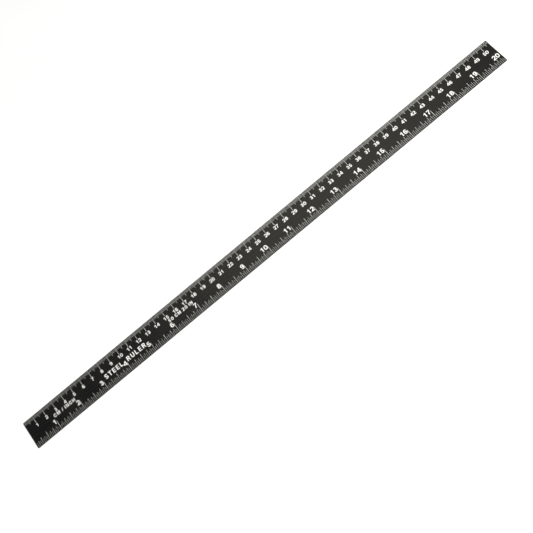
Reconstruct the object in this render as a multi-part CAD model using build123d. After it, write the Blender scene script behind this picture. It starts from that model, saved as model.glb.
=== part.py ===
from build123d import *
import os

# Steel ruler with a metric scale along one long edge and an inch scale along the other.
# The blade is one flat strip of steel. Every line, number and letter is a thin print of white
# enamel that stands on the blade's top face.
# Frame: X runs along the length with both scales starting at the -X end, Y runs across the width
# towards the metric edge, Z points up from the underside. Millimetres.

# blade
LENGTH = 20 * IN
WIDTH = 1.125 * IN
THICKNESS = 1.2
CORNER_RADIUS = 0.6
EDGE_BREAK = 0.15

# printed marks
PRINT_THICKNESS = 0.04

# lines of both scales: width and length; every line starts at the same inset from its edge
LINE_INSET = 0.2
MILLIMETRE_LINE = (0.16, 3.4)
HALF_CENTIMETRE_LINE = (0.19, 5.2)
CENTIMETRE_LINE = (0.23, 7.6)
SIXTEENTH_LINE = (0.15, 3.9)
EIGHTH_LINE = (0.16, 5.2)
QUARTER_LINE = (0.19, 6.3)
HALF_INCH_LINE = (0.21, 7.3)
INCH_LINE = (0.23, 9.3)
MILLIMETRES_MARKED = 507
CENTIMETRES_NUMBERED = 50
INCHES_NUMBERED = 20
SIXTEENTHS_MARKED = 16 * INCHES_NUMBERED - 1

# numbers: height, and distance of their foot from the inch edge
CENTIMETRE_NUMBER_HEIGHT = 3.4
CENTIMETRE_NUMBER_FOOT = 16.7
INCH_NUMBER_HEIGHT = 4.6
INCH_NUMBER_FOOT = 7.1
INCH_NUMBER_GAP = 0.15
LAST_INCH_NUMBER_GAP = 1.1

# words: height, foot above the inch edge, start from the zero end
UNITS_LEGEND = ("CM / INCH", 3.4, 12.6, 25.6)
FIRST_NAME_LEGEND = ("STEEL", 4.6, 9.3, 79.2)
SECOND_NAME_LEGEND = ("RULER", 4.6, 9.3, 103.0)
LENGTHS_LEGEND = ("50 CM 20 IN", 3.2, 12.7, 150.0)

# shapes of the numbers and letters, as fractions of their height
STROKE = 0.19
DIGIT_WIDTH = 0.68
DIGIT_PITCH = 0.77
LETTER_GAP = 0.26
SPACE_WIDTH = 0.32

ZERO_END = -LENGTH / 2
INCH_EDGE = -WIDTH / 2
METRIC_EDGE = WIDTH / 2


def outline(*points):
    """Flat face inside a closed outline of straight sides."""
    return make_face(Polyline(*points, close=True))


def block(left, foot, right, top):
    """Upright rectangle between two corners."""
    return outline((left, foot), (right, foot), (right, top), (left, top))


def arc(centre, radius, start, sweep):
    """Stroke of constant width whose middle follows an arc, angles in degrees."""
    outer = CenterArc(centre, radius + STROKE / 2, start, sweep)
    inner = CenterArc(centre, radius - STROKE / 2, start, sweep)
    return make_face([outer, Line(outer @ 1, inner @ 1), inner, Line(inner @ 0, outer @ 0)])


def bar(start, end):
    """Straight stroke of constant width whose middle joins two points."""
    return make_face(trace(Line(start, end), line_width=STROKE).edges())


def stadium(width, height):
    """Rounded shape with two straight sides and two half circles, centred."""
    if width > height:
        return SlotOverall(width, height)
    return SlotOverall(height, width, rotation=90)


def ring(left, foot, right, top):
    """Closed loop of constant stroke that fills a box."""
    width = right - left
    height = top - foot
    middle = Pos((left + right) / 2, (foot + top) / 2)
    return middle * stadium(width, height) - middle * stadium(width - 2 * STROKE, height - 2 * STROKE)


def glyph_one():
    flag = ThreePointArc((0.37, 1), (0.26, 0.87), (0.06, 0.79))
    rest = Polyline((0.06, 0.79), (0.06, 0.63), (0.30, 0.72), (0.30, 0), (0.49, 0), (0.49, 1), (0.37, 1))
    return make_face([flag, rest])


def glyph_two():
    radius = (DIGIT_WIDTH - STROKE) / 2
    centre = (DIGIT_WIDTH / 2, 1 - DIGIT_WIDTH / 2)
    head = arc(centre, radius, -45, 218)
    reach = radius * 0.7071
    slope_start = (centre[0] + reach, centre[1] - reach)
    slope_end = (slope_start[0] - 0.5, slope_start[1] - 0.5)
    neck = bar(slope_start, slope_end) & block(0, 0, DIGIT_WIDTH, 1)
    return head + neck + block(0, 0, DIGIT_WIDTH, STROKE * 0.9)


def glyph_three():
    top = arc((0.33, 0.71), 0.195, -90, 262)
    bottom = arc((0.335, 0.305), 0.21, -174, 264)
    return top + bottom + block(0.23, 0.43, 0.34, 0.59)


def glyph_four():
    body = outline((0.44, 0), (0.62, 0), (0.62, 1), (0.41, 1), (0, 0.38), (0, 0.21), (0.44, 0.21))
    window = outline((0.44, 0.37), (0.44, 0.73), (0.19, 0.37))
    return body - window + block(0.60, 0.21, 0.70, 0.37)


def glyph_five():
    flag = outline((0.12, 1), (0.05, 0.46), (0.21, 0.44), (0.27, 0.84), (0.62, 0.84), (0.62, 1))
    return flag + arc((0.335, 0.33), 0.235, -172, 312)


def glyph_six():
    neck_radius = (DIGIT_WIDTH - STROKE) / 2
    neck = arc((DIGIT_WIDTH / 2, 1 - DIGIT_WIDTH / 2), neck_radius, 28, 152)
    back = block(0, 0.30, STROKE, 1 - DIGIT_WIDTH / 2)
    return ring(0, 0, DIGIT_WIDTH, 0.64) + back + neck


def glyph_seven():
    front = ThreePointArc((0.68, 0.86), (0.44, 0.47), (0.35, 0))
    back = ThreePointArc((0.15, 0), (0.24, 0.44), (0.46, 0.83))
    return make_face(
        [
            front,
            Line((0.35, 0), (0.15, 0)),
            back,
            Polyline((0.46, 0.83), (0, 0.83), (0, 1), (0.68, 1), (0.68, 0.86)),
        ]
    )


def glyph_eight():
    return ring(0.03, 0.43, DIGIT_WIDTH - 0.03, 1) + ring(0, 0, DIGIT_WIDTH, 0.60)


def glyph_nine():
    neck_radius = (DIGIT_WIDTH - STROKE) / 2
    neck = arc((DIGIT_WIDTH / 2, DIGIT_WIDTH / 2), neck_radius, 208, 152)
    back = block(DIGIT_WIDTH - STROKE, DIGIT_WIDTH / 2, DIGIT_WIDTH, 0.70)
    return ring(0, 0.36, DIGIT_WIDTH, 1) + back + neck


def glyph_c():
    return ring(0, 0, 0.74, 1) - block(0.40, 0.35, 0.75, 0.65)


def glyph_e():
    stem = block(0, 0, STROKE, 1)
    return stem + block(0, 0, 0.60, 0.17) + block(0, 0.415, 0.56, 0.575) + block(0, 0.83, 0.59, 1)


def glyph_h():
    return block(0, 0, STROKE, 1) + block(0.52, 0, 0.52 + STROKE, 1) + block(0, 0.42, 0.60, 0.59)


def glyph_m():
    left = outline((0, 0), (0, 1), (0.27, 1), (0.50, 0), (0.36, 0), (0.18, 0.74), (0.18, 0))
    return left + Pos(0.86) * mirror(left, Plane.YZ)


def glyph_n():
    left_side = [(0.19, 0.64), (0.19, 0), (0, 0), (0, 1), (0.20, 1)]
    right_side = [(0.53, 0.36), (0.53, 1), (0.72, 1), (0.72, 0), (0.52, 0)]
    return outline(*left_side, *right_side)


def glyph_r():
    head = ring(0, 0.42, 0.66, 1) + block(0, 0.42, 0.30, 0.60) + block(0, 0.83, 0.30, 1)
    leg = outline((0.28, 0.46), (0.48, 0.50), (0.70, 0), (0.49, 0))
    return head - block(0, 0.60, STROKE, 0.83) + block(0, 0, STROKE, 1) + leg


def glyph_s():
    head = arc((0.30, 0.7025), 0.2025, 90, 180) + arc((0.36, 0.7025), 0.2025, 18, 72)
    foot = arc((0.36, 0.2975), 0.2025, -90, 180) + arc((0.30, 0.2975), 0.2025, -162, 72)
    joins = [block(0.30, level, 0.36, level + STROKE) for level in (0, 0.405, 0.81)]
    return head + foot + joins


def glyph_u():
    radius = (0.70 - STROKE) / 2
    stems = block(0, 0.34, STROKE, 1) + block(0.70 - STROKE, 0.34, 0.70, 1)
    return stems + arc((0.35, 0.35), radius, 180, 180)


GLYPHS = {
    "0": ring(0, 0, DIGIT_WIDTH, 1),
    "1": glyph_one(),
    "2": glyph_two(),
    "3": glyph_three(),
    "4": glyph_four(),
    "5": glyph_five(),
    "6": glyph_six(),
    "7": glyph_seven(),
    "8": glyph_eight(),
    "9": glyph_nine(),
    "C": glyph_c(),
    "E": glyph_e(),
    "H": glyph_h(),
    "I": block(0, 0, STROKE, 1),
    "L": block(0, 0, STROKE, 1) + block(0, 0, 0.57, 0.17),
    "M": glyph_m(),
    "N": glyph_n(),
    "R": glyph_r(),
    "S": glyph_s(),
    "T": block(0, 0.83, 0.64, 1) + block(0.32 - STROKE / 2, 0, 0.32 + STROKE / 2, 1),
    "U": glyph_u(),
    "/": outline((0, 0), (0.13, 0), (0.42, 1), (0.29, 1)),
}


def digits(number, height, foot, cell_right):
    """Faces of a number whose last digit's cell ends at cell_right, from the zero end."""
    text = str(number)
    faces = []
    for place, digit in enumerate(text):
        cell_left = cell_right - (len(text) - place) * DIGIT_PITCH * height
        ink_left = cell_left + (DIGIT_PITCH - DIGIT_WIDTH) / 2 * height
        faces.append(Pos(ZERO_END + ink_left, INCH_EDGE + foot) * scale(GLYPHS[digit], height))
    return faces


def words(text, height, foot, start):
    """Faces of a line of text that starts at a distance from the zero end."""
    faces = []
    pen = start
    for letter in text:
        if letter == " ":
            pen += SPACE_WIDTH * height
        else:
            faces.append(Pos(ZERO_END + pen, INCH_EDGE + foot) * scale(GLYPHS[letter], height))
            pen += (GLYPHS[letter].bounding_box().max.X + LETTER_GAP) * height
    return faces


def metric_line(millimetres, size):
    """Face of one line of the metric scale, size being its width and length."""
    middle = METRIC_EDGE - LINE_INSET - size[1] / 2
    return Pos(ZERO_END + millimetres, middle) * Rectangle(*size)


def inch_line(sixteenths, size):
    """Face of one line of the inch scale, size being its width and length."""
    middle = INCH_EDGE + LINE_INSET + size[1] / 2
    return Pos(ZERO_END + sixteenths * IN / 16, middle) * Rectangle(*size)


def centimetre_numbers(first, last):
    """Numbers centred below their centimetre lines."""
    faces = []
    for number in range(first, last + 1):
        half_width = len(str(number)) * DIGIT_PITCH * CENTIMETRE_NUMBER_HEIGHT / 2
        faces += digits(
            number, CENTIMETRE_NUMBER_HEIGHT, CENTIMETRE_NUMBER_FOOT, 10 * number + half_width
        )
    return faces


def inch_numbers(first, last):
    """Numbers to the left of the tops of their inch lines."""
    faces = []
    for number in range(first, last + 1):
        gap = LAST_INCH_NUMBER_GAP if number == INCHES_NUMBERED else INCH_NUMBER_GAP
        faces += digits(number, INCH_NUMBER_HEIGHT, INCH_NUMBER_FOOT, number * IN - gap)
    return faces


# every family of marks becomes one node
marks = {
    "millimetre_lines": [
        metric_line(mm, MILLIMETRE_LINE) for mm in range(1, MILLIMETRES_MARKED + 1) if mm % 5
    ],
    "half_centimetre_lines": [
        metric_line(mm, HALF_CENTIMETRE_LINE) for mm in range(5, MILLIMETRES_MARKED + 1, 10)
    ],
    "centimetre_lines": [
        metric_line(mm, CENTIMETRE_LINE) for mm in range(10, MILLIMETRES_MARKED + 1, 10)
    ],
    "sixteenth_inch_lines": [
        inch_line(step, SIXTEENTH_LINE) for step in range(1, SIXTEENTHS_MARKED + 1, 2)
    ],
    "eighth_inch_lines": [
        inch_line(step, EIGHTH_LINE) for step in range(2, SIXTEENTHS_MARKED + 1, 4)
    ],
    "quarter_inch_lines": [
        inch_line(step, QUARTER_LINE) for step in range(4, SIXTEENTHS_MARKED + 1, 8)
    ],
    "half_inch_lines": [
        inch_line(step, HALF_INCH_LINE) for step in range(8, SIXTEENTHS_MARKED + 1, 16)
    ],
    "whole_inch_lines": [
        inch_line(step, INCH_LINE) for step in range(16, SIXTEENTHS_MARKED + 1, 16)
    ],
    "scale_units_legend": words(*UNITS_LEGEND),
    "blade_name_legend": words(*FIRST_NAME_LEGEND) + words(*SECOND_NAME_LEGEND),
    "scale_lengths_legend": words(*LENGTHS_LEGEND),
}
for first in range(1, CENTIMETRES_NUMBERED, 10):
    marks[f"centimetre_numbers_{first}_to_{first + 9}"] = centimetre_numbers(first, first + 9)
for first in range(1, INCHES_NUMBERED, 5):
    marks[f"inch_numbers_{first}_to_{first + 4}"] = inch_numbers(first, first + 4)


# blade: the rims of both flat faces are broken all round
strip = extrude(RectangleRounded(LENGTH, WIDTH, CORNER_RADIUS), amount=THICKNESS)
rims = strip.edges().group_by(Axis.Z)
blade = chamfer(rims[0] + rims[-1], EDGE_BREAK)

os.makedirs("parts", exist_ok=True)
export_step(blade, "parts/steel_blade.step")
for name, faces in marks.items():
    prints = [extrude(Pos(0, 0, THICKNESS) * face, amount=PRINT_THICKNESS).solid() for face in faces]
    export_step(Compound(label=name, children=prints), f"parts/{name}.step")
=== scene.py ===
import math

import bpy
from mathutils import Matrix, Vector


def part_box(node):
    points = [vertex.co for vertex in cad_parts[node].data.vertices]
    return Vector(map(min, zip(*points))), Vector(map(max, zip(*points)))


# Steel ruler: satin black blade with white enamel marks on a pale studio floor.
# Every CAD node keeps its shape; this script gives the nodes their finishes and sets up
# the floor, the light and the camera. Lengths are in metres, in the row frame.

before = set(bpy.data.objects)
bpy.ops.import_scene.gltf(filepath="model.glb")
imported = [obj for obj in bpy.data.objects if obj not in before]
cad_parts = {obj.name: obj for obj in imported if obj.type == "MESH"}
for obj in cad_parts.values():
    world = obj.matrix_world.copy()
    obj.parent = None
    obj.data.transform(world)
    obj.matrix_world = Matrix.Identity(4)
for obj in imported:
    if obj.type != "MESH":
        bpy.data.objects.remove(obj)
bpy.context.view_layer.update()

BLADE = "steel_blade"
blade_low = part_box(BLADE)[0]

# colours are linear red, green and blue
DEEP_BLACK = (0.0035, 0.0035, 0.0036)
CLOUDED_BLACK = (0.0062, 0.0060, 0.0056)
GRAIN_BLACK = (0.0110, 0.0107, 0.0100)
RUBBED_STEEL = (0.090, 0.086, 0.080)
CLEAN_WHITE = (0.865, 0.860, 0.843)
AGED_WHITE = (0.815, 0.808, 0.786)
THIN_WHITE = (0.46, 0.45, 0.42)
# painted shade: a darker white for the long edges near the zero end, where the light is
# dimmer
PAINTED_SHADE_WHITE = (0.24, 0.235, 0.22)
PAPER_DARK = (0.30, 0.30, 0.30)
PAPER_LIGHT = (0.33, 0.33, 0.33)
WHITE = (1.0, 1.0, 1.0, 1.0)

# coarseness of the noises, in features per metre
GRAIN_STRETCH = (45.0, 2600.0, 2600.0)
CLOUD_SCALE = 22.0
SPECKLE_SCALE = 2400.0
RUB_SCALE = 160.0
PATCH_SCALE = 90.0
FLECK_SCALE = 5200.0
FIBRE_SCALE = 14.0
TOOTH_SCALE = 900.0

# heights of the bumps, in metres
GRAIN_HEIGHT = 0.0000025
SPECKLE_HEIGHT = 0.0000040
FLECK_HEIGHT = 0.0000060
TOOTH_HEIGHT = 0.00001

LACQUER_IOR = 1.5
PAPER_GLOW = 0.74
PAPER_ROUGHNESS = 0.9


# ---------------------------------------------------------------- node helpers

class Shader:
    """A material's node tree, with short ways to add and join nodes."""

    def __init__(self, name):
        self.material = bpy.data.materials.new(name)
        self.material.use_nodes = True
        self.tree = self.material.node_tree
        self.tree.nodes.clear()
        self.surface = self.add("ShaderNodeBsdfPrincipled")
        output = self.add("ShaderNodeOutputMaterial")
        self.join(self.surface.outputs["BSDF"], output.inputs["Surface"])
        self.place = self.add("ShaderNodeTexCoord").outputs["Object"]

    def add(self, kind, **settings):
        node = self.tree.nodes.new(kind)
        for key, value in settings.items():
            setattr(node, key, value)
        return node

    def join(self, source, target):
        self.tree.links.new(source, target)

    def stretched(self, scale):
        """The object's coordinates multiplied axis by axis."""
        mapping = self.add("ShaderNodeMapping")
        mapping.inputs["Scale"].default_value = scale
        self.join(self.place, mapping.inputs["Vector"])
        return mapping.outputs["Vector"]

    def noise(self, scale, detail=3.0, roughness=0.5, vector=None):
        node = self.add("ShaderNodeTexNoise")
        node.inputs["Scale"].default_value = scale
        node.inputs["Detail"].default_value = detail
        node.inputs["Roughness"].default_value = roughness
        self.join(vector or self.place, node.inputs["Vector"])
        return node.outputs["Fac"]

    def spread(self, value, low, high, to_low=0.0, to_high=1.0):
        """value between low and high, carried over to the range to_low..to_high."""
        node = self.add("ShaderNodeMapRange", clamp=True)
        self.join(value, node.inputs["Value"])
        for key, number in (
            ("From Min", low), ("From Max", high), ("To Min", to_low), ("To Max", to_high)
        ):
            node.inputs[key].default_value = number
        return node.outputs["Result"]

    def calc(self, operation, first, second):
        node = self.add("ShaderNodeMath", operation=operation)
        for socket, value in zip(node.inputs, (first, second)):
            if isinstance(value, (int, float)):
                socket.default_value = value
            else:
                self.join(value, socket)
        return node.outputs["Value"]

    def mix(self, factor, first, second):
        """Colour between first and second; each is a colour or another node's output."""
        node = self.add("ShaderNodeMix", data_type="RGBA")
        self.join(factor, node.inputs[0])
        for socket, value in ((node.inputs[6], first), (node.inputs[7], second)):
            if isinstance(value, tuple):
                socket.default_value = (*value, 1.0)
            else:
                self.join(value, socket)
        return node.outputs[2]

    def axes(self, vector):
        """The X, Y and Z of a vector, as three outputs."""
        node = self.add("ShaderNodeSeparateXYZ")
        self.join(vector, node.inputs[0])
        return [node.outputs[axis] for axis in "XYZ"]

    def bump(self, height, distance, below=None):
        node = self.add("ShaderNodeBump")
        node.inputs["Strength"].default_value = 1.0
        node.inputs["Distance"].default_value = distance
        self.join(height, node.inputs["Height"])
        if below is not None:
            self.join(below, node.inputs["Normal"])
        return node.outputs["Normal"]

    def set(self, **inputs):
        """Joins or sets the surface's inputs; underscores stand for spaces."""
        for key, value in inputs.items():
            socket = self.surface.inputs[key.replace("_", " ")]
            if isinstance(value, (int, float, tuple)):
                socket.default_value = value
            else:
                self.join(value, socket)


# ---------------------------------------------------------------- finishes

def black_steel():
    """Satin black oxide on ground steel: lengthwise grain, faint clouding, worn rims."""
    s = Shader("black_steel")
    clouds = s.noise(CLOUD_SCALE, detail=4.0)
    grain = s.noise(1.0, detail=2.0, vector=s.stretched(GRAIN_STRETCH))
    speckle = s.noise(SPECKLE_SCALE, detail=2.0)

    tint = s.mix(s.spread(clouds, 0.35, 0.65), DEEP_BLACK, CLOUDED_BLACK)
    tint = s.mix(s.spread(grain, 0.45, 0.75, 0.0, 0.55), tint, GRAIN_BLACK)

    # the rims have normals that lean outwards; the finish is rubbed thin there in patches
    upward = s.axes(s.add("ShaderNodeNewGeometry").outputs["Normal"])[2]
    lean = s.calc("ABSOLUTE", upward, 0.0)
    rim = s.calc("MULTIPLY", s.spread(lean, 0.98, 0.90), s.spread(lean, 0.20, 0.40))
    rubbed = s.spread(s.noise(RUB_SCALE, detail=6.0, roughness=0.7), 0.50, 0.66)
    worn = s.calc("MULTIPLY", rim, rubbed)
    tint = s.mix(worn, tint, RUBBED_STEEL)

    gloss = s.spread(clouds, 0.30, 0.70, 0.26, 0.31)
    gloss = s.calc("ADD", gloss, s.spread(grain, 0.30, 0.70, -0.035, 0.035))
    normal = s.bump(grain, GRAIN_HEIGHT)
    normal = s.bump(speckle, SPECKLE_HEIGHT, below=normal)
    s.set(
        Base_Color=tint,
        Metallic=s.calc("MULTIPLY", worn, 0.75),
        Roughness=gloss,
        IOR=LACQUER_IOR,
        Normal=normal,
    )
    return s.material


def white_enamel():
    """Thin printed enamel: slightly warm and a little thin in places, with painted shade
    darkening the white along the long edges towards the zero end.
    """
    s = Shader("white_enamel")
    patches = s.noise(PATCH_SCALE, detail=3.0)
    flecks = s.noise(FLECK_SCALE, detail=3.0, roughness=0.6)
    thin = s.spread(flecks, 0.60, 0.78, 0.0, 0.35)
    tint = s.mix(s.spread(patches, 0.35, 0.65), CLEAN_WHITE, AGED_WHITE)
    tint = s.mix(thin, tint, THIN_WHITE)

    # painted shade: the white is darkened along both long edges, most of all towards the
    # zero end, standing in for the dimmer light at that end
    along, across, _ = s.axes(s.place)
    edge = s.spread(s.calc("ABSOLUTE", across, 0.0), 0.0085, 0.0110)
    zero_end_shade = s.spread(along, 0.10, -0.20, 0.15, 0.45)
    tint = s.mix(s.calc("MULTIPLY", edge, zero_end_shade), tint, PAINTED_SHADE_WHITE)
    s.set(
        Base_Color=tint,
        Roughness=s.spread(patches, 0.30, 0.70, 0.42, 0.58),
        IOR=LACQUER_IOR,
        Normal=s.bump(flecks, FLECK_HEIGHT),
    )
    return s.material


def pale_floor():
    """Matt pale paper that also gives off light, so that it looks white all over."""
    s = Shader("pale_floor")
    fibre = s.noise(FIBRE_SCALE, detail=4.0)
    s.set(
        Base_Color=s.mix(s.spread(fibre, 0.3, 0.7), PAPER_DARK, PAPER_LIGHT),
        Roughness=PAPER_ROUGHNESS,
        Emission_Color=WHITE,
        Emission_Strength=PAPER_GLOW,
        Specular_IOR_Level=0.0,
        Normal=s.bump(s.noise(TOOTH_SCALE, detail=2.0), TOOTH_HEIGHT),
    )
    return s.material


steel = black_steel()
enamel = white_enamel()
for name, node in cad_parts.items():
    node.data.materials.clear()
    node.data.materials.append(steel if name == BLADE else enamel)


# ---------------------------------------------------------------- floor

FLOOR_HALF = 3.0
floor_mesh = bpy.data.meshes.new("studio_floor")
floor_mesh.from_pydata(
    [
        (-FLOOR_HALF, -FLOOR_HALF, blade_low[2]),
        (FLOOR_HALF, -FLOOR_HALF, blade_low[2]),
        (FLOOR_HALF, FLOOR_HALF, blade_low[2]),
        (-FLOOR_HALF, FLOOR_HALF, blade_low[2]),
    ],
    [],
    [(0, 1, 2, 3)],
)
floor = bpy.data.objects.new("studio_floor", floor_mesh)
bpy.context.scene.collection.objects.link(floor)
floor.data.materials.append(pale_floor())


# ---------------------------------------------------------------- light and camera

def aimed(location, target, roll=0.0):
    """Matrix of something at location whose -Z axis points at target, rolled in degrees."""
    forward = (Vector(target) - Vector(location)).normalized()
    level = forward.cross(Vector((0, 0, 1))).normalized()
    upright = level.cross(forward)
    turn = math.radians(roll)
    right = level * math.cos(turn) + upright * math.sin(turn)
    up = right.cross(forward)
    matrix = Matrix((right, up, -forward)).transposed().to_4x4()
    matrix.translation = Vector(location)
    return matrix


def softbox(name, location, target, size, power, colour):
    light = bpy.data.lights.new(name, "AREA")
    light.color = colour
    light.shape = "RECTANGLE"
    light.size, light.size_y = size
    light.energy = power
    lamp = bpy.data.objects.new(name, light)
    bpy.context.scene.collection.objects.link(lamp)
    lamp.matrix_world = aimed(location, target)


NEARLY_WHITE = (1.0, 0.995, 0.955)
WARM = (1.0, 0.98, 0.82)

# the key light stands to the far end's side, so the zero end is the dimmer one
KEY_PLACE = (0.30, -0.40, 0.80)
KEY_TARGET = (0.05, 0.0, 0.0)
KEY_SIZE = (0.5, 0.5)
KEY_WATTS = 13.6
softbox("key_softbox", KEY_PLACE, KEY_TARGET, KEY_SIZE, KEY_WATTS, NEARLY_WHITE)

# a dim panel that the glossy black mirrors, brightest a little past the middle
SHEEN_PLACE = (0.160, 0.57, 0.90)
SHEEN_TARGET = (0.04, 0.0, 0.0)
SHEEN_SIZE = (0.58, 0.45)
SHEEN_WATTS = 0.76
softbox("sheen_panel", SHEEN_PLACE, SHEEN_TARGET, SHEEN_SIZE, SHEEN_WATTS, WARM)

AMBIENT_STRENGTH = 0.12
scene = bpy.context.scene
world = bpy.data.worlds.new("studio")
world.use_nodes = True
background = world.node_tree.nodes["Background"]
background.inputs["Color"].default_value = WHITE
background.inputs["Strength"].default_value = AMBIENT_STRENGTH
scene.world = world
scene.view_settings.view_transform = "Standard"

CAMERA_PLACE = (-0.0260, -0.5641, 0.9054)
CAMERA_TARGET = (-0.0116, -0.0198, 0.0012)
CAMERA_ROLL = -38.36
LENS_MM = 85.73
SENSOR_MM = 36.0
NEAREST_SEEN = 0.01
camera_data = bpy.data.cameras.new("camera")
camera_data.lens = LENS_MM
camera_data.sensor_width = SENSOR_MM
camera_data.clip_start = NEAREST_SEEN
camera = bpy.data.objects.new("camera", camera_data)
scene.collection.objects.link(camera)
camera.matrix_world = aimed(CAMERA_PLACE, CAMERA_TARGET, CAMERA_ROLL)
scene.camera = camera
